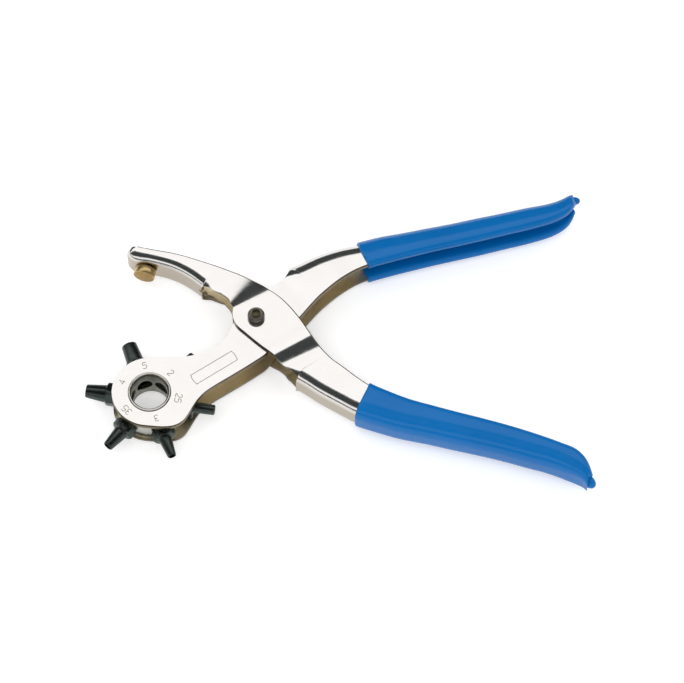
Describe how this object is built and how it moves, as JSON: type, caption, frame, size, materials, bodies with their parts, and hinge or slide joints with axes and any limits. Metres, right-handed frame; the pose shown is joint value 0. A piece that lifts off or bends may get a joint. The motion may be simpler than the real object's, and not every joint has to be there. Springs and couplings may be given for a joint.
{
  "type": "rotary hole punch",
  "caption": "Revolving punch pliers: spring-opened pressed-steel arms with dipped grips, a turret wheel of hollow punches and a round anvil facing them.",
  "frame": {"origin": "on the pivot axis, in the flat back face of the pivot rivet, on which the pliers lie", "axes": "+Z along the pivot axis, away from the surface the pliers lie on; +X from the pivot to the handles; +Y to the side of the anvil jaw"},
  "size_m": [0.2234, 0.1433, 0.0258],
  "materials": {
    "plated_steel": "pressed sheet steel with a bright nickel plating",
    "grip_coating": "blue dipped vinyl, smooth and glossy",
    "blackened_steel": "hardened and blackened steel, turned, slightly glossy",
    "turned_steel": "turned steel, satin",
    "spring_steel": "tempered spring steel, plain",
    "burnished_steel": "plated rivet steel with a dull recess",
    "brass": "turned brass, lightly scratched"
  },
  "bodies": {
    "wheel_arm_side": {"wheel_arm": "plated_steel", "wheel_arm_grip": "grip_coating", "detent_washer": "spring_steel", "detent_key_pin": "spring_steel", "pivot_sleeve": "spring_steel", "opening_spring": "spring_steel"},
    "anvil_arm_side": {"anvil_arm": "plated_steel", "anvil_arm_grip": "grip_coating", "anvil": "brass", "pivot_rivet": "burnished_steel"},
    "turret": {"hub_tube": "turned_steel", "turret_wheel": "turned_steel", "punch_5mm": "blackened_steel", "punch_4mm": "blackened_steel", "punch_3mm": "blackened_steel", "punch_2mm": "blackened_steel", "punch_3_5mm": "blackened_steel", "punch_2_5mm": "blackened_steel"}
  },
  "joints": [
    {"name": "jaw_pivot", "type": "hinge", "parent": "wheel_arm_side", "child": "anvil_arm_side", "pos_m": [0, 0, 0.01205], "axis": [0, 0, 1], "range_deg": [0, 34.6], "stiffness_Nm_per_rad": 0.5, "springref_deg": -34.38, "deforming": ["opening_spring"]},
    {"name": "turret_spin", "type": "hinge", "parent": "wheel_arm_side", "child": "turret", "pos_m": [-0.0463, -0.0355, 0.01205], "axis": [0, 0, 1], "continuous": true, "deforming": ["detent_washer"]}
  ]
}
